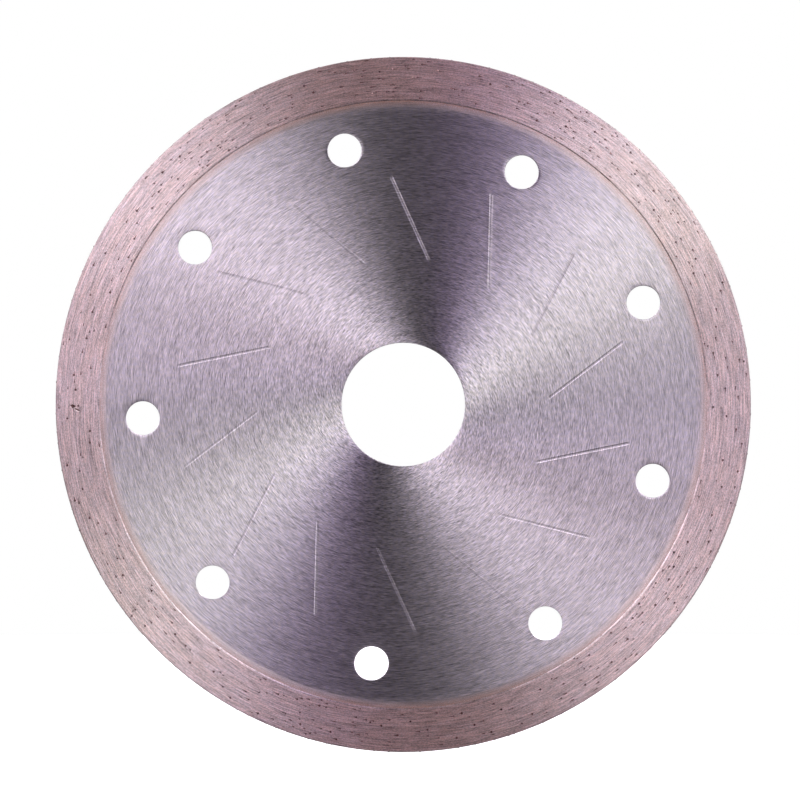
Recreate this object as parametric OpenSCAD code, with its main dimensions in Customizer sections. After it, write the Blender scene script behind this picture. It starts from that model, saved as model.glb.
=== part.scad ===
// Continuous-rim diamond blade for cutting tile, stone and concrete.
// The blade stands upright: its axis lies along Y, its front face looks towards -Y, and the
// origin is the centre of the arbor bore at half the thickness of the core.

/* [Blade] */
// Outside diameter of the blade
blade_d = 125; // [100:1:155]
// Diameter of the arbor bore
bore_d = 22.23; // [16:0.01:28]
// Thickness of the steel core
core_t = 1.1; // [0.9:0.05:2.2]

/* [Cutting rim] */
// Radial depth of the diamond layer
rim_w = 7.85; // [5:0.05:12]
// How far the diamond layer stands proud of the core on each side
side_relief = 0.15; // [0.12:0.01:0.4]
// Chamfer around the diamond layer
rim_chamfer = 0.08; // [0.02:0.01:0.1]
// Radial width of the plain bond band, between the steel and the diamond layer
bond_w = 1.15; // [0.9:0.05:3]
// How far the bond band stands proud of the core on each side
bond_proud = 0.02; // [0:0.01:0.06]

/* [Keyed joint] */
// Solid wall of bond metal between the core's tongue and the diamond layer
bond_web = 0.4; // [0.2:0.05:0.6]
// Wall of bond metal over each side of the tongue
lip_t = 0.3; // [0.1:0.05:0.35]
// Number of half-round keys around the tongue
key_n = 36; // [12:1:60]
// Radius of each key
key_r = 0.4; // [0.2:0.05:0.45]

/* [Cooling holes] */
// Number of holes
hole_n = 9; // [3:1:12]
// Diameter of each hole
hole_d = 6.1; // [3:0.1:9]
// From a hole's centre out to the edge of the steel
hole_inset = 6.6; // [5.5:0.1:9]
// Angle of the first hole
hole_turn = 23; // [0:0.5:120]

/* [Tension grooves] */
// Number of grooves pressed into each face
groove_n = 14; // [4:1:20]
// Length of each groove
groove_len = 16.5; // [8:0.5:20]
// Steel left between the grooves' outer ends and the holes
groove_gap = 2.9; // [1:0.1:5]
// Lean of each groove away from the radius
groove_lean = 26.5; // [0:0.5:40]
// Angle of the first groove's centre
groove_turn = 10.7; // [0:0.1:30]
// Depth at the outer end
groove_deep = 0.03; // [0.025:0.005:0.15]
// Depth at the inner end
groove_shallow = 0.02; // [0.005:0.005:0.025]
// Radius of the round bottom of the groove
groove_r = 0.95; // [0.4:0.05:1.2]

/* [Diamonds] */
// Number of crystals in each face of the rim
face_n = 150; // [40:1:180]
// Number of crystals around the outer edge
edge_n = 75; // [20:1:120]
// Smallest crystal, across its square faces
grit_min = 0.34; // [0.2:0.01:0.36]
// Largest crystal, across its square faces
grit_max = 0.46; // [0.36:0.01:0.48]
// How far the flattest crystal stands out of the metal
grit_proud = 0.05; // [0.01:0.01:0.06]
// Most that a crystal leans
grit_lean = 20; // [0:1:25]
// Seed of the crystals' places
grit_seed = 17; // [1:1:99]

/* [Hidden] */
$fn = 180;

rim_t = core_t + 2 * side_relief;
bond_t = core_t + 2 * bond_proud;
tongue_t = core_t - 2 * lip_t;
blade_r = blade_d / 2;
rim_in_r = blade_r - rim_w;
core_r = rim_in_r - bond_w;
tongue_r = rim_in_r - bond_web;
hole_ring_r = core_r - hole_inset;

// The groove's outer end lies groove_gap inside the ring of holes: the centre's radius follows
// from the triangle of that end, the groove's middle and the axis.
groove_end_r = hole_ring_r - hole_d / 2 - groove_gap;
groove_side = groove_len / 2 * sin(groove_lean);
groove_mid_r = sqrt(pow(groove_end_r, 2) - pow(groove_side, 2)) - groove_len / 2 * cos(groove_lean);
groove_mean = (groove_deep + groove_shallow) / 2;
groove_slope = atan((groove_deep - groove_shallow) / groove_len);

// A crystal's corners are at most 0.71 of its size from its centre.
face_in_r = rim_in_r + rim_chamfer + grit_max;
face_out_r = blade_r - 2 * grit_max;
edge_half_w = rim_t / 2 - rim_chamfer - 0.75 * grit_max;
spare = 0.2; // how far a cutting shape runs past what it cuts

steel = "#A69DAC";
bond_metal = "#A3877F";
matrix_metal = "#BBA0A0";
diamond = "#4A3A30";

// Lays a shape that was drawn flat, front up, into its upright place.
module upright() rotate([90, 0, 0]) children();

// Repeats a shape around the axis.
module around(count, first) {
    for (i = [0 : count - 1])
        rotate([0, 0, first + i * 360 / count])
            children();
}

// The ground-down edge of the core that the bond metal grips, with its key notches.
module tongue() {
    difference() {
        cylinder(r = tongue_r, h = tongue_t, center = true);
        around(key_n, 0)
            translate([tongue_r, 0, 0])
                cylinder(r = key_r, h = core_t, center = true, $fn = 32);
    }
}

// A shallow pressed line: a round bar laid nearly flat, deeper at its outer end.
module groove_bar() {
    translate([groove_mid_r, 0, core_t / 2 + groove_r - groove_mean])
        rotate([0, 0, groove_lean])
            rotate([0, 90 + groove_slope, 0])
                cylinder(r = groove_r, h = groove_len, center = true, $fn = 48);
}

module grooves() {
    around(groove_n, groove_turn)
        groove_bar();
}

module steel_core() {
    color(steel)
        upright()
            difference() {
                union() {
                    cylinder(r = core_r, h = core_t, center = true);
                    tongue();
                }
                cylinder(d = bore_d, h = core_t + 2 * spare, center = true);
                around(hole_n, hole_turn)
                    translate([hole_ring_r, 0, 0])
                        cylinder(d = hole_d, h = core_t + 2 * spare, center = true, $fn = 64);
                grooves();
                mirror([0, 0, 1])
                    grooves();
            }
}

module bond_ring() {
    color(bond_metal)
        upright()
            difference() {
                cylinder(r = rim_in_r, h = bond_t, center = true);
                cylinder(r = core_r, h = bond_t + 2 * spare, center = true);
                tongue();
            }
}

// One crystal: a cube whose corners are cut back to the middles of its edges.
module crystal(size) {
    s = size / 2;
    polyhedron(
        points = [
            [s, s, 0], [-s, s, 0], [-s, -s, 0], [s, -s, 0],
            [s, 0, s], [-s, 0, s], [-s, 0, -s], [s, 0, -s],
            [0, s, s], [0, -s, s], [0, -s, -s], [0, s, -s]
        ],
        faces = [
            [7, 3, 4, 0], [6, 1, 5, 2], [11, 0, 8, 1], [10, 2, 9, 3], [9, 5, 8, 4], [10, 7, 11, 6],
            [0, 4, 8], [0, 11, 7], [3, 9, 4], [3, 7, 10], [1, 8, 5], [1, 6, 11], [2, 5, 9], [2, 10, 6]
        ]
    );
}

// A crystal sunk in a surface at the origin that looks along +Z.
module set_crystal(size, turn, lean) {
    translate([0, 0, grit_proud - size / 2])
        rotate([lean, 0, turn])
            crystal(size);
}

// Each crystal has its own slice of the turn, and moves about inside it without reaching the next.
module face_crystals(seed) {
    slice = 360 / face_n;
    slack = slice / 2 * (1 - 2 * grit_max / (face_in_r * slice * PI / 180));
    shift = rands(-slack, slack, face_n, seed);
    place = rands(0, 1, face_n, seed + 1);
    size = rands(grit_min, grit_max, face_n, seed + 2);
    turn = rands(0, 90, face_n, seed + 3);
    lean = rands(0, grit_lean, face_n, seed + 4);
    for (i = [0 : face_n - 1])
        rotate([0, 0, i * slice + shift[i]])
            translate([face_in_r + place[i] * (face_out_r - face_in_r), 0, rim_t / 2])
                set_crystal(size[i], turn[i], lean[i]);
}

module rear_crystals() {
    rotate([180, 0, 0])
        face_crystals(grit_seed + 100);
}

module edge_crystals(seed) {
    slice = 360 / edge_n;
    shift = rands(-slice / 3, slice / 3, edge_n, seed);
    place = rands(-edge_half_w, edge_half_w, edge_n, seed + 1);
    size = rands(grit_min, grit_max, edge_n, seed + 2);
    turn = rands(0, 90, edge_n, seed + 3);
    lean = rands(0, grit_lean, edge_n, seed + 4);
    for (i = [0 : edge_n - 1])
        rotate([0, 0, i * slice + shift[i]])
            translate([blade_r, 0, place[i]])
                rotate([0, 90, 0])
                    set_crystal(size[i], turn[i], lean[i]);
}

module diamond_rim() {
    h = rim_t / 2;
    c = rim_chamfer;
    color(matrix_metal)
        upright()
            difference() {
                rotate_extrude()
                    polygon([
                        [rim_in_r, c - h], [rim_in_r + c, -h], [blade_r - c, -h], [blade_r, c - h],
                        [blade_r, h - c], [blade_r - c, h], [rim_in_r + c, h], [rim_in_r, h - c]
                    ]);
                face_crystals(grit_seed);
                rear_crystals();
                edge_crystals(grit_seed + 200);
            }
}

module front_face_diamonds() {
    color(diamond)
        upright()
            face_crystals(grit_seed);
}

module rear_face_diamonds() {
    color(diamond)
        upright()
            rear_crystals();
}

module edge_diamonds() {
    color(diamond)
        upright()
            edge_crystals(grit_seed + 200);
}

steel_core();
bond_ring();
diamond_rim();
front_face_diamonds();
rear_face_diamonds();
edge_diamonds();
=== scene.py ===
import bmesh
import bpy
import numpy as np
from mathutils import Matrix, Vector


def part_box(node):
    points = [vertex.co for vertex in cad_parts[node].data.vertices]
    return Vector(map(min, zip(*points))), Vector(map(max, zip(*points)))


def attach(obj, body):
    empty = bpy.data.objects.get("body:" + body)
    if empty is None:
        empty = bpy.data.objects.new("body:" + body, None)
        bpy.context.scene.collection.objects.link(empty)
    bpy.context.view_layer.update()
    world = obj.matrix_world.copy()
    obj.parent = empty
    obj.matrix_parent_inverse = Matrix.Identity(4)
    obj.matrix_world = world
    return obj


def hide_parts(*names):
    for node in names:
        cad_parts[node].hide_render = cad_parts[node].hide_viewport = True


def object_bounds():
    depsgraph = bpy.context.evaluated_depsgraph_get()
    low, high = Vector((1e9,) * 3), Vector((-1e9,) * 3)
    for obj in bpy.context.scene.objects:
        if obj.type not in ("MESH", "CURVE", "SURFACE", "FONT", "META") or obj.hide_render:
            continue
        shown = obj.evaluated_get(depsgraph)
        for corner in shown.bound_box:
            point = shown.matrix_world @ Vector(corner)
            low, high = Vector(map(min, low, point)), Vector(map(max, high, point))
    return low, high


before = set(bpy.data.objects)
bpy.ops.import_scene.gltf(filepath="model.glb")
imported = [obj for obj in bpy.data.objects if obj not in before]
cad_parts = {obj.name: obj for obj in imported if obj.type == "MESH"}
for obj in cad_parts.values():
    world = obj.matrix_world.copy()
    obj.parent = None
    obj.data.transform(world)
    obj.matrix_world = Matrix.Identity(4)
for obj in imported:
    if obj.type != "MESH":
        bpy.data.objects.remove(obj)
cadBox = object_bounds()
mm = 0.001
rng = np.random.default_rng(28)
print("frame loaded:", ", ".join(sorted(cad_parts)))

# sizes that the pieces share, from the frame's own boxes
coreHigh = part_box("steel_core")[1]
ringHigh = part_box("bond_ring")[1]
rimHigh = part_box("diamond_rim")[1]
blade = {
    "outerR": rimHigh.x,
    "rimHalf": rimHigh.y,
    "ringR": ringHigh.x,                # where the diamond layer starts
    "ringHalf": ringHigh.y,
    "steelR": ringHigh.x - 1.15 * mm,   # where the bond metal takes over from the steel
    "coreHalf": coreHigh.y,
    "tongueR": coreHigh.x,              # the core's hidden edge
    "tongueHalf": 0.25 * mm,
    "boreR": 11.115 * mm,               # half of the standard 22.23 mm arbor
}


def stand(x, y, z):
    # flat drawing to upright blade: x stays, y becomes up, z comes out of the front face at -Y
    return np.stack(np.broadcast_arrays(x, -z, y), axis=-1)


def polar(r, a, z):
    # a point at radius r and angle a of the flat drawing, at height z, stood upright
    return stand(r * np.cos(a), r * np.sin(a), z)


def smoothStep(t):
    # 3 t squared minus 2 t cubed, held at 0 and 1
    t = np.clip(t, 0, 1)
    return t * t * (3 - 2 * t)


def waver(angle, rows, low, high, waves=4):
    # a wavering curve for each row: the mean of a few cosines of the angle, each with a random
    # whole frequency and a random phase, so that it meets itself after a full turn
    frequency = rng.integers(low, high, (rows, waves, 1))
    phase = rng.uniform(0, 2 * np.pi, (rows, waves, 1))
    return np.cos(frequency * angle.reshape(1, 1, -1) + phase).mean(1)


def gridFaces(rows, cols, closeRows=False):
    # quads between neighbouring rows and columns of points numbered row by row; columns always close
    r, c = np.meshgrid(np.arange(rows if closeRows else rows - 1), np.arange(cols), indexing="ij")
    rNext, cNext = (r + 1) % rows, (c + 1) % cols
    quads = np.stack([r * cols + c, r * cols + cNext, rNext * cols + cNext, rNext * cols + c], -1)
    return quads.reshape(-1, 4)


def sheetPatch(points, closeRows=False):
    # a grid of points, rows by columns by three, with its faces
    return points.reshape(-1, 3), [gridFaces(*points.shape[:2], closeRows)]


def stitchPatch(inner, outer, innerAngle, outerAngle):
    # joins two rings with different numbers of points: each edge of one ring makes a triangle
    # with the last point of the other ring that lies before the edge's end
    turn = 2 * np.pi
    a, b = np.argsort(innerAngle % turn), np.argsort(outerAngle % turn)
    angA, angB = (innerAngle % turn)[a], (outerAngle % turn)[b]
    countA, countB = len(a), len(b)
    endA, endB = np.roll(angA, -1), np.roll(angB, -1)
    endA[-1] += turn
    endB[-1] += turn
    lastB = np.searchsorted(np.concatenate([angB, angB + turn]), endA, side="right") - 1
    lastA = np.searchsorted(np.concatenate([angA, angA + turn]), endB, side="left") - 1
    triA = np.stack([a, np.roll(a, -1), countA + b[lastB % countB]], -1)
    triB = np.stack([countA + b, a[lastA % countA], countA + np.roll(b, -1)], -1)
    return np.concatenate([inner, outer]), [triA, triB]


def mirrored(patch):
    # the same surface on the rear face
    points, faces = patch
    return points * np.array([1, -1, 1]), [f[:, ::-1] for f in faces]


def makePiece(name, patches, material, sharpAngle=None, marks=None):
    # puts the patches' points and faces in one mesh, welds the seams, turns the faces outwards
    # and writes each mark, a value worked out from the place of a point, as an attribute
    points, corners, counts, start = [], [], [], 0
    for co, faces in patches:
        points.append(co)
        corners += [(f + start).ravel() for f in faces]
        counts += [np.full(len(f), f.shape[1]) for f in faces]
        start += len(co)
    points, corners, counts = np.concatenate(points), np.concatenate(corners), np.concatenate(counts)
    starts = np.concatenate([[0], np.cumsum(counts)[:-1]])
    mesh = bpy.data.meshes.new(name)
    mesh.vertices.add(len(points))
    mesh.vertices.foreach_set("co", points.astype(np.float32).ravel())
    mesh.loops.add(len(corners))
    mesh.loops.foreach_set("vertex_index", corners.astype(np.int32))
    mesh.polygons.add(len(counts))
    mesh.polygons.foreach_set("loop_start", starts.astype(np.int32))
    mesh.update(calc_edges=True)
    mesh.validate()
    work = bmesh.new()
    work.from_mesh(mesh)
    seam = 0.00002 * mm
    bmesh.ops.remove_doubles(work, verts=work.verts, dist=seam)
    bmesh.ops.dissolve_degenerate(work, edges=work.edges, dist=seam)
    bmesh.ops.recalc_face_normals(work, faces=work.faces)
    openEdges = sum(1 for e in work.edges if not e.is_manifold)
    work.to_mesh(mesh)
    work.free()
    co = np.empty(len(mesh.vertices) * 3, dtype=np.float32)
    mesh.vertices.foreach_get("co", co)
    for key, rule in (marks or {}).items():
        layer = mesh.attributes.new(key, "FLOAT", "POINT")
        layer.data.foreach_set("value", rule(*co.reshape(-1, 3).T).astype(np.float32))
    if sharpAngle:
        mesh.shade_smooth()
        mesh.set_sharp_from_angle(angle=np.radians(sharpAngle))
    mesh.materials.append(material)
    piece = bpy.data.objects.new(name, mesh)
    bpy.context.scene.collection.objects.link(piece)
    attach(piece, "root")
    triangles = sum(len(p.vertices) - 2 for p in mesh.polygons)
    print(f"{name}: {triangles} triangles, {openEdges} open edges")
    return piece


def linear(hexColour):
    # sRGB hex to linear colour
    c = np.array([int(hexColour[i:i + 2], 16) for i in (1, 3, 5)]) / 255
    c = np.where(c <= 0.04045, c / 12.92, ((c + 0.055) / 1.055) ** 2.4)
    return (*c.tolist(), 1.0)


def addNode(tree, kind, inputs, output=0, **settings):
    # one node with its settings, fixed inputs and links; gives back the output that is asked for
    node = tree.nodes.new("ShaderNode" + kind)
    for key, value in settings.items():
        setattr(node, key, value)
    for key, value in inputs.items() if isinstance(inputs, dict) else enumerate(inputs):
        if isinstance(value, bpy.types.NodeSocket):
            tree.links.new(value, node.inputs[key])
        else:
            node.inputs[key].default_value = value
    return node.outputs[output] if len(node.outputs) else node


# a noise texture's values gather around a half: all of them, most of them, the middle ones
noise = {"whole": (0.25, 0.75), "most": (0.3, 0.7), "middle": (0.35, 0.65)}


def newMaterial(name):
    # an empty material, and the blade's own coordinates: the place, the flat vector from the axis,
    # its length, and the same vector made one long
    material = bpy.data.materials.new(name)
    material.use_nodes = True
    tree = material.node_tree
    tree.nodes.clear()
    place = addNode(tree, "TexCoord", {}, "Object")
    flat = addNode(tree, "VectorMath", (place, (1, 0, 1)), operation="MULTIPLY")
    radius = addNode(tree, "VectorMath", (flat,), "Value", operation="LENGTH")
    unit = addNode(tree, "VectorMath", (flat,), operation="NORMALIZE")
    return material, tree, place, radius, unit


def addStreaks(tree, turned, travel, streaks):
    # brightness of the lines: one, plus a noise for each kind of streak, read on a circle that moves
    # through the noise as the travel grows; a streak gives the circle's radius in noise cells, the
    # cells moved for each metre of travel, and its strength
    shade, grains = 1.0, []
    for circle, speed, strength in streaks:
        moved = addNode(tree, "Math", (travel, speed), operation="MULTIPLY")
        rise = addNode(tree, "CombineXYZ", (0.0, moved, 0.0))
        spot = addNode(tree, "VectorMath", (turned, (circle,) * 3, rise), operation="MULTIPLY_ADD")
        grains.append(addNode(tree, "TexNoise", {"Vector": spot, "Scale": 1.0, "Detail": 2.0,
                                                 "Roughness": 0.6}))
        part = addNode(tree, "MapRange", (grains[-1], *noise["whole"], -strength, strength))
        shade = addNode(tree, "Math", (shade, part), operation="ADD")
    return shade, grains


def finishMetal(tree, colour, bare, grain, spec, across):
    # the shader that every metal here shares: fine relief, and a highlight stretched across the lines
    aside = addNode(tree, "VectorMath", (across, (0, 1, 0)), operation="ADD")
    relief = addNode(tree, "Bump", {"Strength": spec["relief"], "Distance": spec["scratch"],
                                    "Height": grain})
    low, high = spec["roughness"]
    roughness = addNode(tree, "MapRange", (grain, *noise["most"], low, high))
    shader = addNode(tree, "BsdfPrincipled", {
        "Base Color": colour, "Metallic": bare, "Roughness": roughness,
        "Anisotropic": spec["anisotropy"], "Tangent": aside, "Normal": relief})
    addNode(tree, "OutputMaterial", {"Surface": shader})


# Tool steel, ground on a rotary table: the wheel leaves curved scratches that cross the radius at a
# constant small offset, so light runs out sideways across them into bright and dark sectors.
groundSteel = {
    "violet": "#CFC5D4",
    "neutral": "#D6CACF",
    "smear": "#B37354",         # bond metal dragged over the steel's edge when both were ground
    "smearShare": 0.09,
    "lineOffset": 5.2 * mm,     # every scratch is tangent to a circle of this radius
    "streaks": [                # width, length, strength; real ones are finer, drawn to show
        (0.15 * mm, 0.65 * mm, 0.72),
        (0.36 * mm, 2.4 * mm, 0.24),
        (1.6 * mm, 14 * mm, 0.07),
    ],
    "tintSize": 0.5 * mm,
    "smearWidth": 0.9 * mm,
    "smearRagged": 0.5 * mm,    # how unevenly it ends
    # colour of the painted shade in the grooves and on the upper side of each hole
    "painted_shade": "#3A3038",
    "roughness": (0.40, 0.48),
    "anisotropy": 0.94,
    "relief": 0.10,
    "scratch": 0.005 * mm,      # depth that a full relief would have
}


def makeGroundSteel(spec=groundSteel):
    material, tree, place, radius, unit = newMaterial("tool_steel_rotary_ground")
    offset = spec["lineOffset"]
    # the scratch's own angle: the polar angle plus q less the arc tangent of q, where q squared is
    # the squared radius over the squared offset, less one; its length grows as the squared radius
    ratio = addNode(tree, "Math", (radius, offset), operation="DIVIDE")
    square = addNode(tree, "Math", (ratio, ratio, -1.0), operation="MULTIPLY_ADD")
    unwound = addNode(tree, "Math", (square,), operation="SQRT")
    lean = addNode(tree, "Math", (unwound,), operation="ARCTANGENT")
    back = addNode(tree, "Math", (lean, unwound), operation="SUBTRACT")
    line = addNode(tree, "VectorRotate", {"Vector": unit, "Angle": back}, rotation_type="Y_AXIS")
    along = addNode(tree, "Math", (ratio, radius), operation="MULTIPLY")
    shade, grains = addStreaks(tree, line, along, [(offset / width, 0.5 / length, strength)
                                                   for width, length, strength in spec["streaks"]])
    patchy = addNode(tree, "TexNoise", {"Vector": place, "Scale": 1 / spec["tintSize"], "Detail": 2.0})
    tint = addNode(tree, "MapRange", (patchy, *noise["middle"], 0.0, 1.0))
    bare = addNode(tree, "Mix", {0: tint, 6: linear(spec["violet"]), 7: linear(spec["neutral"])}, 2,
                   data_type="RGBA")
    ragged = addNode(tree, "Math", (grains[0], spec["smearRagged"], radius), operation="MULTIPLY_ADD")
    smearEnd = blade["steelR"] + spec["smearRagged"] / 2
    reach = addNode(tree, "MapRange", (ragged, smearEnd - spec["smearWidth"], smearEnd, 0.0,
                                       spec["smearShare"]))
    toned = addNode(tree, "Mix", {0: reach, 6: bare, 7: linear(spec["smear"])}, 2, data_type="RGBA")
    # painted shade, darker in the grooves and on each hole's upper side, mixed into the steel's colour
    painted_shade = addNode(tree, "Attribute", {}, "Fac", attribute_name="painted_shade")
    toned = addNode(tree, "Mix", {0: painted_shade, 6: toned, 7: linear(spec["painted_shade"])}, 2, data_type="RGBA")
    colour = addNode(tree, "VectorMath", {0: toned, "Scale": shade}, operation="SCALE")
    dull = addNode(tree, "Math", (reach, painted_shade), operation="MAXIMUM")
    bright = addNode(tree, "Math", (1.0, dull), operation="SUBTRACT")
    upright = addNode(tree, "Math", (lean, -np.pi / 2), operation="ADD")
    across = addNode(tree, "VectorRotate", {"Vector": unit, "Angle": upright}, rotation_type="Y_AXIS")
    finishMetal(tree, colour, bright, grains[0], spec, across)
    return material


# Sintered matrix, dressed against a turning stone: greyish bronze with rings around the axis, and
# fine pits filled with a dull red film, which show as the colour of the rim where it is in shadow.
matrixMetal = {
    "warm": "#DBCBCE",
    "cool": "#D6CBD3",
    "film": "#D49C97",
    "filmSize": 0.07 * mm,
    "filmFrom": (0.39, 0.48),   # noise values where the film ends and where bare metal starts
    "filmFade": (1.0, 1.0),     # share of it at the steel's edge and at the diamond layer's
    # colour of the darker outer edge and of the painted shade in the gouges
    "dark": "#4C302E",
    "rings": [                  # width, length, strength
        (0.15 * mm, 4 * mm, 0.50),
        (0.45 * mm, 12 * mm, 0.10),
        (0.15 * mm, 0.35 * mm, 0.40),
    ],
    "cloud": (1.1 * mm, 5 * mm),
    "edgeWidth": 0.26 * mm,
    "edgeDark": 0.3,
    "stepWidth": 0.32 * mm,
    "stepFilm": -0.5,           # the sloping inner edge is rubbed bare
    "roughness": (0.38, 0.48),
    "anisotropy": 0.95,
    "relief": 0.25,
    "scratch": 0.005 * mm,
}

# Plain copper-rich bond, ground flush with the steel: smoother, with a browner film that fades out
# towards the steel.
bondMetal = dict(matrixMetal, warm="#E2D4D9", cool="#DED4DD", film="#B37354", filmFrom=(0.42, 0.52),
                 filmFade=(0.3, 1.0), stepFilm=0.0,
                 rings=[(0.17 * mm, 4 * mm, 0.24), (0.16 * mm, 0.35 * mm, 0.18)])

# Matrix left standing behind each crystal as the blade was dressed, coloured dark as painted shade
# behind the crystal.
shadedTailMatrix = dict(matrixMetal, warm="#6E5152", cool="#7C6266", film="#7A5250",
                   edgeDark=0.0, stepFilm=0.0)


def makeMatrixMetal(name, spec):
    material, tree, place, radius, unit = newMaterial(name)
    height = addNode(tree, "SeparateXYZ", (place,), 1)
    out = addNode(tree, "Math", (radius, height), operation="ADD")     # across the rings, on every side
    shade, grains = addStreaks(tree, unit, out, [(blade["outerR"] / length, 1 / width, strength)
                                                 for width, length, strength in
                                                 [*spec["rings"], (*spec["cloud"], 0.0)]])
    cloud = addNode(tree, "MapRange", (grains[-1], *noise["middle"], 0.0, 1.0))
    mixed = addNode(tree, "Mix", {0: cloud, 6: linear(spec["cool"]), 7: linear(spec["warm"])}, 2,
                    data_type="RGBA")
    spots = addNode(tree, "TexNoise", {"Vector": place, "Scale": 1 / spec["filmSize"], "Detail": 1.0})
    pits = addNode(tree, "MapRange", (spots, *spec["filmFrom"], 1.0, 0.0))
    fade = addNode(tree, "MapRange", (radius, blade["steelR"], blade["ringR"], *spec["filmFade"]))
    step = addNode(tree, "MapRange", (radius, blade["ringR"], blade["ringR"] + spec["stepWidth"],
                                      spec["stepFilm"], 0.0))
    film = addNode(tree, "Math", (pits, fade, step), operation="MULTIPLY_ADD", use_clamp=True)
    # darker towards the outer edge
    edge = addNode(tree, "MapRange", (radius, blade["outerR"] - spec["edgeWidth"], blade["outerR"], 0.0,
                                      spec["edgeDark"]))
    # painted shade in the gouges, added to the darkening towards the outer edge
    gouge_shade = addNode(tree, "Attribute", {}, "Fac", attribute_name="gouge_shade")
    darkened = addNode(tree, "Math", (edge, gouge_shade), operation="ADD", use_clamp=True)
    toned = addNode(tree, "Mix", {0: film, 6: mixed, 7: linear(spec["film"])}, 2, data_type="RGBA")
    toned = addNode(tree, "Mix", {0: darkened, 6: toned, 7: linear(spec["dark"])}, 2, data_type="RGBA")
    colour = addNode(tree, "VectorMath", {0: toned, "Scale": shade}, operation="SCALE")
    dull = addNode(tree, "Math", (film, darkened), operation="MAXIMUM")
    bare = addNode(tree, "Math", (1.0, dull), operation="SUBTRACT")
    finishMetal(tree, colour, bare, grains[0], spec, unit)
    return material


# Synthetic diamond grit: small glassy crystals, nearly black in the metal, with a few bright facets.
diamondGrit = {
    "dark": "#341E22",
    "light": "#664A4A",
    "glint": "#B89A9C",         # the brown stone tints what it reflects
    "patch": 0.9 * mm,
    "patchFrom": (0.35, 0.7),   # noise values of the darkest and the lightest crystals
    "roughness": 0.32,
    "ior": 2.417,
}


def makeDiamond(spec=diamondGrit):
    material, tree, place, *_ = newMaterial("synthetic_diamond_grit")
    patchy = addNode(tree, "TexNoise", {"Vector": place, "Scale": 1 / spec["patch"], "Detail": 1.0})
    mostlyDark = addNode(tree, "MapRange", (patchy, *spec["patchFrom"], 0.0, 1.0))
    colour = addNode(tree, "Mix", {0: mostlyDark, 6: linear(spec["dark"]), 7: linear(spec["light"])}, 2,
                     data_type="RGBA")
    shader = addNode(tree, "BsdfPrincipled", {
        "Base Color": colour, "Roughness": spec["roughness"], "IOR": spec["ior"],
        "Specular Tint": linear(spec["glint"])})
    addNode(tree, "OutputMaterial", {"Surface": shader})
    return material


steel = makeGroundSteel()
bondCopper = makeMatrixMetal("sintered_copper_bond", bondMetal)
matrix = makeMatrixMetal("sintered_bronze_matrix", matrixMetal)
tailShade = makeMatrixMetal("tail_shade_bronze_matrix", shadedTailMatrix)
diamond = makeDiamond()
print("materials made")

core = {
    "grooves": 14,
    "grooveTurn": 10.7,
    "grooveLean": 26.5,
    "grooveLength": 16.5 * mm,
    "grooveMid": 33.4 * mm,
    "grooveReach": (26.2 * mm, 41.0 * mm),     # radii of its inner and outer end
    "grooveWidth": (0.40 * mm, 0.43 * mm),     # at the inner and the outer end
    "grooveDepth": (0.017 * mm, 0.020 * mm),
    # how deep each one is pressed, as a share of that depth
    "grooveShares": (1.6, 0.8, 1.6, 0.8, 1.0, 0.7, 0.9, 0.8, 1.9, 1.0, 0.7, 0.9, 1.4, 1.9),
    # painted shade in the grooves, at full depth
    "grooveShade": 0.2,
    "grooveWall": 0.10 * mm,                   # width of each sloping wall
    "grooveEnd": 0.35 * mm,
    "lip": 0.2,                                # metal pushed up beside it, as a share of the depth
    "holes": 9,
    "holeTurn": 23.0,
    "holeR": 3.05 * mm,
    "holeRing": 46.9 * mm,
    "straightR": 22 * mm,                      # inside this radius the columns run straight out
    "grooveZone": 42.2 * mm,                   # grooves lie inside this one
    "holeZone": 42.7 * mm,                     # holes lie outside this one
    "edgeBreak": 0.10 * mm,
    "keys": 36,
    "keyR": 0.4 * mm,
    # how dark the painted shade on the upper edge of each hole is
    "holeShades": (0.25, 0.2, 0.2, 0.3, 0.9, 0.2, 0.25, 0.2, 0.35),
    "shadeWidth": 0.6 * mm,
    "shadeLean": 0.3,                          # how far the painted shade leans to the left
    "shadeClear": 0.2,                         # larger leaves more of the hole's edge unshaded
    "holePoints": (64, 20, 52),                # around a hole's outer side, one flank, its inner side
    "keyPoints": (15, 10),                     # in each key notch, and from one to the next
    "growRows": 11,                            # from a hole's edge to the sides of its share
    "growPower": 1.4,                          # over one crowds them at the hole
    "bendRows": 6,
    "wallRows": 4,
    "farColumns": 6,                           # on each side, from beside a groove to mid-sector
    # rows of the grooved face, closest at the grooves' ends: first and last radius in mm, number
    "faceRows": [(12.5, 12.5, 1), (15, 21, 3), (23.5, 23.5, 1), (25.4, 27.4, 7), (28.2, 39.4, 15),
                 (39.9, 41.5, 9)],
}


def grooveLine(r):
    # polar angle of a groove's straight centre line where it crosses radius r, and the cosine of
    # the angle between the two
    lean = np.radians(core["grooveLean"])
    r = np.clip(r, core["straightR"], core["grooveZone"])
    u = -core["grooveMid"] * np.cos(lean) + np.sqrt(r**2 - (core["grooveMid"] * np.sin(lean))**2)
    angle = np.arctan2(u * np.sin(lean), core["grooveMid"] + u * np.cos(lean))
    return angle, np.sqrt(1 - (core["grooveMid"] * np.sin(lean) / r)**2)


def between(pair, t):
    # a straight step from the first value to the second
    return pair[0] + np.clip(t, 0, 1) * (pair[1] - pair[0])


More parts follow.
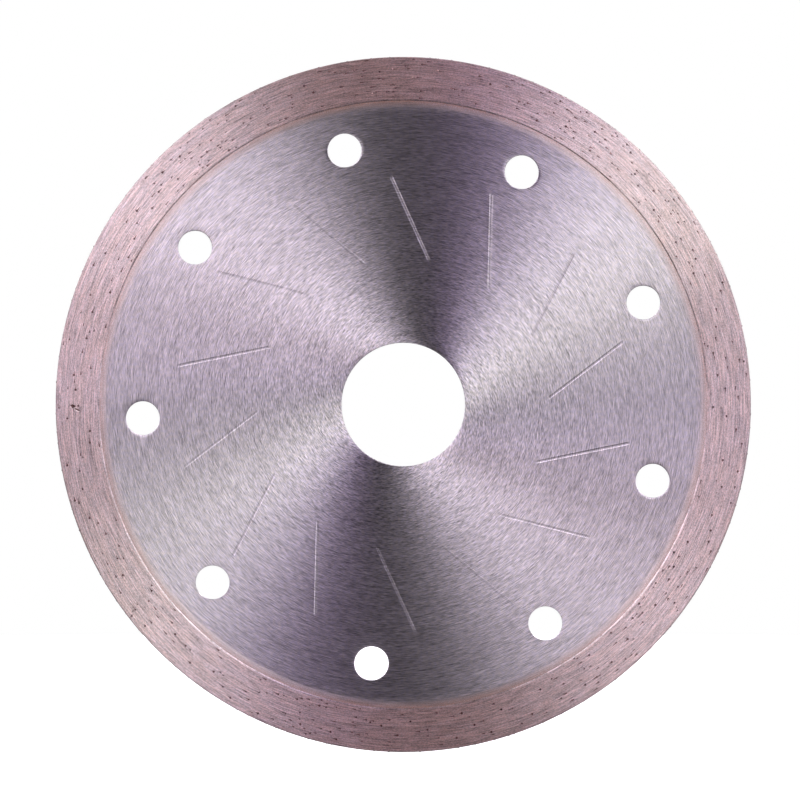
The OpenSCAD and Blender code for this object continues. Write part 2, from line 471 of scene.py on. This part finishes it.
def grooveRelief(x, y):
    # height of the nearest groove: a flat-bottomed trough with sloping walls that deepens a little
    # outwards, pressed less or more in each place, and a low lip of pushed-up metal on both sides
    pitch = 2 * np.pi / core["grooves"]
    turn, lean = np.radians(core["grooveTurn"]), np.radians(core["grooveLean"])
    own = np.arctan2(y, x) - turn - grooveLine(np.hypot(x, y))[0]
    number = np.round(own / pitch).astype(int)
    sector = number * pitch + turn
    localX = x * np.cos(sector) + y * np.sin(sector) - core["grooveMid"]
    localY = -x * np.sin(sector) + y * np.cos(sector)
    u = localX * np.cos(lean) + localY * np.sin(lean)
    v = np.abs(-localX * np.sin(lean) + localY * np.cos(lean))
    t = u / core["grooveLength"] + 0.5
    half, wall = between(core["grooveWidth"], t) / 2, core["grooveWall"]
    ends = smoothStep((core["grooveLength"] / 2 - np.abs(u)) / core["grooveEnd"] + 0.5)
    trough = smoothStep((half + wall / 2 - v) / wall)
    lip = np.exp(-((v - half - wall) / (wall / 2))**2)
    depth = between(core["grooveDepth"], t) * np.array(core["grooveShares"])[number % core["grooves"]]
    return depth * ends * (core["lip"] * lip - trough)


def coreInnerFace():
    # a polar grid sheared so that in every sector one column follows a groove's centre line, with
    # more columns at the groove's walls and more rows at its ends
    rows = [np.linspace(first * mm, last * mm, count) for first, last, count in core["faceRows"]]
    radii = np.concatenate([[blade["boreR"] + core["edgeBreak"]], *rows, [core["grooveZone"]]])
    centre, cosLean = grooveLine(radii)
    low, high = core["grooveReach"]
    half = between(core["grooveWidth"], (radii - low) / (high - low))[:, None] / 2
    shareOfHalf = np.array([0, 0.4, 1, 1, 1, 1, 1, 1, 1, 1, 1])
    shareOfWall = np.array([0, 0, -0.5, -0.25, 0, 0.25, 0.5, 0.75, 1.0, 1.5, 2.5])
    pitch = 2 * np.pi / core["grooves"]
    close = (half * shareOfHalf + core["grooveWall"] * shareOfWall) / (radii * cosLean)[:, None]
    far = close[:, -1:] + np.linspace(0, 1, core["farColumns"] + 1)[1:] * (pitch / 2 - close[:, -1:])
    side = np.concatenate([close, far], 1)
    offsets = np.concatenate([-side[:, -2:0:-1], side], 1)
    sectors = np.arange(core["grooves"]) * pitch + np.radians(core["grooveTurn"])
    angles = sectors[None, :, None] + centre[:, None, None] + offsets[:, None, :]
    angles = angles.reshape(len(radii), -1)
    x, y = radii[:, None] * np.cos(angles), radii[:, None] * np.sin(angles)
    return stand(x, y, blade["coreHalf"] + grooveRelief(x, y)), angles


def holeOutline():
    # a hole's share of the ring it sits in, walked round: outer arc, far side, inner arc, near side
    outerN, flankN, innerN = core["holePoints"]
    half = np.pi / core["holes"]
    low, high = core["holeZone"], blade["steelR"]
    r = np.concatenate([np.full(outerN, high), np.linspace(high, low, flankN, endpoint=False),
                        np.full(innerN, low), np.linspace(low, high, flankN, endpoint=False)])
    a = np.concatenate([np.linspace(-half, half, outerN, endpoint=False), np.full(flankN, half),
                        np.linspace(half, -half, innerN, endpoint=False), np.full(flankN, -half)])
    return r * np.cos(a), r * np.sin(a)


def tongueEdge():
    # angle and radius of the tongue's edge: a circle with half-round notches, walked with points
    # crowded inside each notch
    pitch = 2 * np.pi / core["keys"]
    notchN, plainN = core["keyPoints"]
    chord = np.linspace(-1, 1, notchN) * core["keyR"] * 0.9999     # just inside, so the root stays real
    notchA = chord / blade["tongueR"]
    notchR = blade["tongueR"] - np.sqrt(core["keyR"]**2 - chord**2)
    plainA = np.linspace(notchA[-1], pitch + notchA[0], plainN)[1:-1]
    a = np.concatenate([notchA, plainA])
    r = np.concatenate([notchR, np.full(len(plainA), blade["tongueR"])])
    return (np.arange(core["keys"])[:, None] * pitch + a).ravel(), np.tile(r, core["keys"])


def corePatches():
    # faces with their grooves, the round bore and holes with broken edges, and the hidden tongue
    inner, innerAngles = coreInnerFace()
    half, edge, a = blade["coreHalf"], core["edgeBreak"], innerAngles[:1]
    # a quarter round from the face to the wall, then the wall
    bend = np.linspace(0, np.pi / 2, core["bendRows"])[:, None]
    easeR, easeZ = edge * (1 - np.sin(bend)), half - edge * (1 - np.cos(bend))
    wallZ = np.linspace(half - edge, edge - half, core["wallRows"])[:, None]
    front = [sheetPatch(inner), sheetPatch(polar(blade["boreR"] + easeR, a, easeZ))]
    wall = [sheetPatch(polar(blade["boreR"] + 0 * wallZ, a, wallZ))]
    # rings of points that grow from each round hole to its share of the ring around it
    outX, outY = holeOutline()
    toward = np.arctan2(outY, outX - core["holeRing"])
    grow = (np.linspace(0, 1, core["growRows"])**core["growPower"])[:, None]
    mouth = core["holeR"] + edge
    faceX = core["holeRing"] + mouth * np.cos(toward)
    faceY = mouth * np.sin(toward)
    faceX, faceY = faceX + grow * (outX - faceX), faceY + grow * (outY - faceY)
    edgeR, holeWallR = core["holeR"] + easeR, core["holeR"] + 0 * wallZ
    sheets = [(front, faceX, faceY, half),
              (front, core["holeRing"] + edgeR * np.cos(toward), edgeR * np.sin(toward), easeZ),
              (wall, core["holeRing"] + holeWallR * np.cos(toward), holeWallR * np.sin(toward), wallZ)]
    starts = np.radians(core["holeTurn"]) + 2 * np.pi / core["holes"] * np.arange(core["holes"])
    for start in starts:
        c, s = np.cos(start), np.sin(start)
        for group, x, y, z in sheets:
            group.append(sheetPatch(stand(x * c - y * s, x * s + y * c, z)))
    # the flat strip between the grooves and the holes, then the step down to the notched tongue
    outerN, _, innerN = core["holePoints"]
    sector = np.pi / core["holes"]
    lowAngles = (starts[:, None] - np.linspace(-sector, sector, innerN, endpoint=False)).ravel()
    highAngles = (starts[:, None] + np.linspace(-sector, sector, outerN, endpoint=False)).ravel()
    front.append(stitchPatch(inner[-1], polar(core["holeZone"], lowAngles, half),
                             innerAngles[-1], lowAngles))
    stepZ = np.array([half, blade["tongueHalf"]])[:, None]
    front.append(sheetPatch(polar(blade["steelR"], highAngles, stepZ)))
    keyAngles, keyR = tongueEdge()
    rim = polar(keyR, keyAngles, blade["tongueHalf"])
    front.append(stitchPatch(polar(blade["steelR"], highAngles, blade["tongueHalf"]), rim,
                             highAngles, keyAngles))
    wall.append(sheetPatch(np.stack([rim, rim * np.array([1, -1, 1])])))
    return front + [mirrored(p) for p in front] + wall


def paintedShadeMark(x, y, z):
    # painted shade in the grooves, and painted shade on the upper side of each hole: it fades with the
    # exponential of the distance from the edge, and with the cosine of the angle from its upper side
    dark = core["grooveShade"] * np.clip(-grooveRelief(x, z) / core["grooveDepth"][0], 0, 1)
    for i, strength in enumerate(core["holeShades"]):
        a = np.radians(core["holeTurn"]) + i * 2 * np.pi / core["holes"]
        dx, dz = x - core["holeRing"] * np.cos(a), z - core["holeRing"] * np.sin(a)
        away = np.hypot(dx, dz)
        toward = np.clip((dz - core["shadeLean"] * dx) / away - core["shadeClear"], 0, 1)
        fade = np.exp(-(away - core["holeR"]) / core["shadeWidth"])
        dark = np.maximum(dark, strength * toward * fade)
    return dark


coreDisc = makePiece("steel_disc", corePatches(), steel, sharpAngle=50, marks={"painted_shade": paintedShadeMark})
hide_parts("steel_core")
print("steel core made")

bond = {
    "rows": 7,
    "ramp": 0.5 * mm,           # the bond rises from the steel over this width
    "ripple": 0.003 * mm,
    "rippleTurns": (5, 40),     # waves in a full turn, fewest and most
}


def bondPatches():
    # one profile carried round: the ground faces, and the pocket that fits the tongue's edge
    angles, notchR = tongueEdge()
    steelR, ringR, lip = blade["steelR"], blade["ringR"], blade["tongueHalf"]
    faceR = np.linspace(steelR, ringR, bond["rows"])[:, None]
    rise = smoothStep((faceR - steelR) / bond["ramp"])
    faceZ = blade["coreHalf"] + (blade["ringHalf"] - blade["coreHalf"]) * rise
    ripple = bond["ripple"] * rise * (waver(angles, bond["rows"], *bond["rippleTurns"]) - 1) / 2
    r = np.concatenate([np.full((1, 1), steelR), faceR, faceR[::-1], np.full((1, 1), steelR)])
    r = np.concatenate([r + 0 * angles, notchR[None], notchR[None]])
    z = np.concatenate([lip + 0 * angles[None], faceZ + ripple, (-faceZ - ripple)[::-1],
                        np.array([[-lip], [-lip], [lip]]) + 0 * angles])
    return [sheetPatch(polar(r, angles, z), closeRows=True)]


bondBand = makePiece("bond_band", bondPatches(), bondCopper, sharpAngle=50)
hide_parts("bond_ring")
print("bond ring made")

rim = {
    "faceRows": 36,
    "slopeRows": 6,
    "roundRows": 5,
    "edgeRows": 5,
    "columns": 720,
    "closest": 1e-4,            # columns nearer to each other than this angle become one
    "innerSlope": (0.17 * mm, 0.125 * mm, 1.1),     # across, down, and how it bends
    "outerRound": 0.16 * mm,
    "ripple": 0.0015 * mm,      # ridges left around the side faces by dressing
    "rippleTurns": (6, 60),     # waves in a full turn, fewest and most
    "rippleFade": 0.4 * mm,     # the ridges die out over this width at both edges
    "nibble": 0.018 * mm,       # unevenness of the outer edge
    "nibbleTurns": (20, 300),
    "nibbleWaves": 12,
    "gougePower": 0.7,          # under one makes the walls steeper
    "gougeShadeDepth": 0.03,         # depth in mm from which a gouge's painted shade is full
    "gougeColumns": 13,         # extra columns across each gouge
    "gougeRows": 7,             # extra rows, over the middle 0.7 of each of the first three
    "gouges": [                 # angle, radius, half length, half width, tilt from the radius, depth
        (180.3, 59.35, 0.48, 0.30, -20, 0.08),
        (180.9, 58.65, 0.55, 0.15, -26, 0.05),
        (217.9, 61.9, 0.30, 0.20, 20, 0.03),
        (217.4, 61.2, 0.30, 0.15, 35, 0.03),
        (216.9, 60.7, 0.18, 0.16, 0, 0.025),
        (64.0, 58.2, 0.16, 0.5, 0, 0.03),
        (318.0, 57.0, 0.15, 0.6, 5, 0.03),
    ],
}


def gougeShape(x, y):
    # depth of the gouges in mm: a power of one minus the squared distance, measured in each gouge's
    # own stretched axes
    deepest = 0 * x
    for angle, radius, length, width, tilt, depth in rim["gouges"]:
        a, t = np.radians(angle), np.radians(tilt)
        u = (x * np.cos(a) + y * np.sin(a)) / mm - radius
        w = (y * np.cos(a) - x * np.sin(a)) / mm
        p, q = (u * np.cos(t) + w * np.sin(t)) / length, (w * np.cos(t) - u * np.sin(t)) / width
        deepest = np.maximum(deepest, depth * np.clip(1 - p * p - q * q, 0, 1)**rim["gougePower"])
    return deepest


def gougeShadeMark(x, y, z):
    # painted shade in the gouges, darker where they are deeper, only on the front face, whose outward
    # direction is -Y
    return np.where(y < 0, np.clip(gougeShape(x, z) / rim["gougeShadeDepth"], 0, 1), 0)


def rimPatches():
    # one profile carried round: front face, rounded outer edge, rim edge, rear face, inner wall;
    # rows and columns crowd at the gouges
    spread = np.linspace(-1, 1, rim["gougeColumns"])
    spots = [np.radians(angle) + spread * length / radius for angle, radius, length, *_ in rim["gouges"]]
    even = np.linspace(0, 2 * np.pi, rim["columns"], endpoint=False)
    a = np.sort(np.concatenate([even] + spots) % (2 * np.pi))
    a = a[np.concatenate([[True], np.diff(a) > rim["closest"]])]
    half, inR, outR = blade["rimHalf"], blade["ringR"], blade["outerR"]
    bend = np.linspace(0, np.pi / 2, rim["roundRows"])
    wide, deep, power = rim["innerSlope"]
    part = np.linspace(0, 1, rim["slopeRows"])
    corner = rim["outerRound"]
    faceR = np.linspace(inR + wide, outR - corner, rim["faceRows"])[1:-1]
    extra = [(radius + np.linspace(-0.7, 0.7, rim["gougeRows"]) * length) * mm
             for _, radius, length, *_ in rim["gouges"][:3]]

    def side(flatR):
        r = np.concatenate([inR + wide * part, flatR, outR - corner * (1 - np.sin(bend))])[:, None]
        z = np.concatenate([half - deep * (1 - part)**power, np.full(len(flatR), half),
                            half - corner * (1 - np.cos(bend))])[:, None]
        flat = smoothStep((r - inR) / rim["rippleFade"]) * smoothStep((outR - r) / rim["rippleFade"])
        level = rng.uniform(-1, 0, r.shape)
        return r, z + rim["ripple"] * flat * (level + (waver(a, len(r), *rim["rippleTurns"]) - 1) / 2)

    frontR, frontZ = side(np.sort(np.concatenate([faceR, *extra])))
    frontZ = frontZ - mm * gougeShape(frontR * np.cos(a), frontR * np.sin(a))
    rearR, rearZ = side(faceR)
    edgeZ = np.linspace(half - corner, corner - half, rim["edgeRows"] + 2)[1:-1, None]
    uneven = rim["nibble"] * (waver(a, 1, *rim["nibbleTurns"], rim["nibbleWaves"]) - 1) / 2
    r = np.concatenate([frontR + 0 * a, np.full_like(edgeZ, outR) + 0 * a, rearR[::-1] + 0 * a])
    r = r + uneven * smoothStep((r - outR) / corner + 1)
    z = np.concatenate([frontZ, edgeZ + 0 * a, -rearZ[::-1]])
    return [sheetPatch(polar(r, a, z), closeRows=True)]


rimRing = makePiece("sintered_rim", rimPatches(), matrix, sharpAngle=50, marks={"gouge_shade": gougeShadeMark})
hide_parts("diamond_rim")
print("diamond rim made")

grit = {
    "cadCount": 150,            # crystals that the frame already has on each face
    "faceCount": 300,
    "edgeCount": 70,
    "size": (0.20 * mm, 0.36 * mm),
    "proud": 0.035 * mm,
    "lean": 22,
    "gap": 0.55 * mm,
    "keepOff": (0.4 * mm, 0.3 * mm),    # clear of the rim's inner and outer edge
    "edgeKeepOff": 0.25 * mm,           # those in the outer edge, clear of the side faces
    "edgeArc": (4, 86),                 # angles in each quarter, clear of the blade's outermost points
    "crowds": 16,
    "crowdSpread": 0.07,
    "tailStart": 0.15,                  # share of a tail's length that lies before its crystal
    "tailLength": (0.4 * mm, 1.3 * mm),
    "tailHalf": (0.05 * mm, 0.11 * mm),
    "tailHeight": 0.010 * mm,
    "tailRows": 8,
    "tailSides": 6,
}


def crystalShape():
    # a cube cut back to the middles of its edges: twelve corners, six squares and eight triangles
    s = np.array([[1, 1], [-1, 1], [-1, -1], [1, -1]])
    o = np.zeros((4, 1))
    corners = np.concatenate([np.hstack([s, o]), np.hstack([s[:, :1], o, s[:, 1:]]), np.hstack([o, s])])
    cubeCorners = np.array(np.meshgrid([1, -1], [1, -1], [1, -1])).reshape(3, -1).T
    squares, triangles = [], []
    for n in np.concatenate([np.eye(3), -np.eye(3), cubeCorners]):
        flat = np.flatnonzero(corners @ n > (corners @ n).max() - 1e-6)     # the corners of one face
        u = np.cross(n, [0.3, 0.5, 0.8])        # any direction that is no face's own
        fromMiddle = corners[flat] - corners[flat].mean(0)
        order = np.argsort(np.arctan2(fromMiddle @ np.cross(n, u), fromMiddle @ u))
        (squares if len(flat) == 4 else triangles).append(flat[order])
    return corners / 2, np.array(squares), np.array(triangles)


def randomTurns(count):
    # a turn about the outward direction, then a small lean, as rotation matrices
    turn = rng.uniform(0, 2 * np.pi, count)
    lean = rng.uniform(0, np.radians(grit["lean"]), count)
    ct, st, cl, sl, o = np.cos(turn), np.sin(turn), np.cos(lean), np.sin(lean), np.zeros(count)
    return np.array([[ct, -st * cl, st * sl], [st, ct * cl, -ct * sl], [o, sl, cl]]).transpose(2, 0, 1)


def crystalPatch(centres, outward, around, sizes):
    # the crystal shape copied to every centre, with its own size, turn and lean
    corners, squares, triangles = crystalShape()
    basis = np.stack([around, np.cross(outward, around), outward], -1)
    turned = np.einsum("nij,pj->npi", basis @ randomTurns(len(centres)), corners)
    sunk = centres - outward * (sizes / 2 - grit["proud"])[:, None]
    co = turned * sizes[:, None, None] + sunk[:, None, :]
    shift = (np.arange(len(centres)) * len(corners))[:, None, None]
    return co.reshape(-1, 3), [(squares + shift).reshape(-1, 4), (triangles + shift).reshape(-1, 3)]


def tailPatch(a, r, face):
    # a teardrop lens behind each crystal: along it, the half width is the sine of pi times the root
    # of the distance; across it, an ellipse; it bends with the rim
    count, rows, sides = len(a), grit["tailRows"], grit["tailSides"]
    long, wide = rng.uniform(*grit["tailLength"], count), rng.uniform(*grit["tailHalf"], count)
    p = np.linspace(0, 1, rows)[None, :, None]
    swell = np.sin(np.pi * np.sqrt(p))
    around = np.linspace(0, 2 * np.pi, sides, endpoint=False)[None, None, :]
    tailR = r[:, None, None] + wide[:, None, None] * swell * np.cos(around)
    tailA = a[:, None, None] + (grit["tailStart"] - p) * (long / r)[:, None, None] + 0 * around
    tailZ = face * (blade["rimHalf"] + grit["tailHeight"] * swell * np.sin(around) + 0 * tailR)
    shift = (np.arange(count) * rows * sides)[:, None, None]
    return polar(tailR, tailA, tailZ).reshape(-1, 3), [(gridFaces(rows, sides) + shift).reshape(-1, 4)]


def cadCrystals(name):
    # angle and radius of each crystal in a frame node: the mean of the corners in its own slice
    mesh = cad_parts[name].data
    co = np.empty(len(mesh.vertices) * 3, dtype=np.float32)
    mesh.vertices.foreach_get("co", co)
    x, _, z = co.reshape(-1, 3).T
    count = grit["cadCount"]
    own = np.round(np.arctan2(z, x) / (2 * np.pi / count)).astype(int) % count
    many = np.bincount(own, minlength=count)
    x, z = np.bincount(own, x, count) / many, np.bincount(own, z, count) / many
    return np.arctan2(z, x), np.hypot(x, z)


def scatter(count, takenA, takenR):
    # random places on a side face, half of them in crowded patches, leaving out those too close to
    # an earlier place or to a crystal that is already there
    tries = 3 * count
    low, high = blade["ringR"] + grit["keepOff"][0], blade["outerR"] - grit["keepOff"][1]
    a, r = rng.uniform(0, 2 * np.pi, tries), np.sqrt(rng.uniform(low**2, high**2, tries))
    crowds = rng.uniform(0, 2 * np.pi, grit["crowds"])
    crowded = crowds[rng.integers(0, grit["crowds"], len(a[::2]))]
    a[::2] = crowded + rng.normal(0, grit["crowdSpread"], len(crowded))
    allA, allR = np.concatenate([takenA, a]), np.concatenate([takenR, r])
    spots = allR * np.exp(1j * allA)
    near = np.abs(spots[len(takenA):, None] - spots[None, :]) < grit["gap"]
    earlier = np.arange(len(spots))[None, :] < len(takenA) + np.arange(tries)[:, None]
    keep = np.flatnonzero(~(near & earlier).any(1))[:count]
    return a[keep], r[keep]


def addGrit(name, centres, outward, around):
    sizes = rng.uniform(*grit["size"], len(centres))
    piece = makePiece(name, [crystalPatch(centres, outward, around, sizes)], diamond)


for node in ("front_face_diamonds", "rear_face_diamonds", "edge_diamonds"):
    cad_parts[node].data.materials.clear()
    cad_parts[node].data.materials.append(diamond)

for word, face in (("front", 1), ("rear", -1)):
    cadA, cadR = cadCrystals(f"{word}_face_diamonds")
    a, r = scatter(grit["faceCount"], cadA, cadR)
    addGrit(f"{word}_fine_grit", polar(r, a, face * blade["rimHalf"]), polar(0 * a, a, face),
            polar(1, a + np.pi / 2, 0))
    tail = tailPatch(np.concatenate([cadA, a]), np.concatenate([cadR, r]), face)
    # raised matrix tails, whose dark colour is painted shade behind each crystal
    makePiece(f"{word}_shaded_wear_tails", [tail], tailShade, sharpAngle=50)

quarter = rng.integers(0, 4, grit["edgeCount"])
edgeA = np.radians(90 * quarter + rng.uniform(*grit["edgeArc"], grit["edgeCount"]))
edgeZ = rng.uniform(-1, 1, grit["edgeCount"]) * (blade["rimHalf"] - grit["edgeKeepOff"])
addGrit("edge_fine_grit", polar(blade["outerR"], edgeA, edgeZ), polar(1, edgeA, 0),
        polar(1, edgeA + np.pi / 2, 0))
print("crystals made")

stage = {"floorRadius": 0.6, "floorColour": "#F4F3F5", "floorRoughness": 0.9, "floorGlow": 0.85,
         "roomLight": 0.03}
bpy.ops.mesh.primitive_circle_add(vertices=96, radius=stage["floorRadius"], fill_type="NGON",
                                  location=(0, 0, cadBox[0][2]))
floor = bpy.context.object
floor.name = "floor"
paleFloor, floorTree, *_ = newMaterial("pale_studio_floor")
floorShader = addNode(floorTree, "BsdfPrincipled", {
    "Base Color": linear(stage["floorColour"]), "Roughness": stage["floorRoughness"],
    "Emission Color": linear("#FFFFFF"), "Emission Strength": stage["floorGlow"]})
addNode(floorTree, "OutputMaterial", {"Surface": floorShader})
floor.data.materials.append(paleFloor)
floor.visible_glossy = False
floor.visible_diffuse = False

world = bpy.data.worlds.new("white_surround")
bpy.context.scene.world = world
world.use_nodes = True
world.node_tree.nodes.clear()
seen = addNode(world.node_tree, "LightPath", {}, "Is Camera Ray")
level = addNode(world.node_tree, "MapRange", (seen, 0.0, 1.0, stage["roomLight"], 1.0))
surround = addNode(world.node_tree, "Background", {"Color": (1, 1, 1, 1), "Strength": level})
addNode(world.node_tree, "OutputWorld", {"Surface": surround})      # shows white, lights like a dim room

softbox = {
    "tilt": 42,                 # from the blade's axis
    "distance": 1.1,
    "size": 0.5,
    "lamps": {                  # azimuth on the blade, watts, colour
        "low_right": (8, 2.4, "#EDEDFB"),
        "mid_right": (30, 1.1, "#FFF6EC"),
        "key_right": (45, 4.9, "#F7FFF5"),
        "high_right": (60, 1.35, "#D8B0FB"),
        "key_left": (135, 4.9, "#F6F3FA"),
        "mid_left": (150, 0.95, "#FCFFED"),
        "low_left": (165, 2.5, "#F8EAF9"),
    },
}


def addSoftbox(name, side, azimuth, watts, colour):
    # a square lamp that looks at the blade's centre, in front of it or behind it
    a, t = np.radians(azimuth), np.radians(softbox["tilt"])
    direction = Vector((np.cos(a) * np.sin(t), side * np.cos(t), np.sin(a) * np.sin(t)))
    light = bpy.data.lights.new(name, "AREA")
    light.shape = "SQUARE"
    light.size = softbox["size"]
    light.energy = watts
    light.color = linear(colour)[:3]
    lamp = bpy.data.objects.new(name, light)
    lamp.location = direction * softbox["distance"]
    lamp.rotation_euler = direction.to_track_quat("Z", "Y").to_euler()
    bpy.context.scene.collection.objects.link(lamp)


for word, side in (("front", -1), ("rear", 1)):
    for name, spec in softbox["lamps"].items():
        addSoftbox(f"{word}_{name}", side, *spec)

camera = {"distance": 1.2, "frameWidth": 143.9 * mm, "right": -0.59 * mm, "up": 0.81 * mm,
          "sensor": 36, "clip": (0.01, 50)}
camData = bpy.data.cameras.new("camera")
camData.sensor_width = camera["sensor"]
camData.lens = camera["sensor"] * camera["distance"] / camera["frameWidth"]
camData.clip_start, camData.clip_end = camera["clip"]
cam = bpy.data.objects.new("camera", camData)
cam.location = (camera["right"], -camera["distance"], camera["up"])
cam.rotation_euler = (np.pi / 2, 0, 0)
bpy.context.scene.collection.objects.link(cam)
bpy.context.scene.camera = cam
bpy.context.scene.view_settings.view_transform = "Standard"
print("stage, lights and camera made")
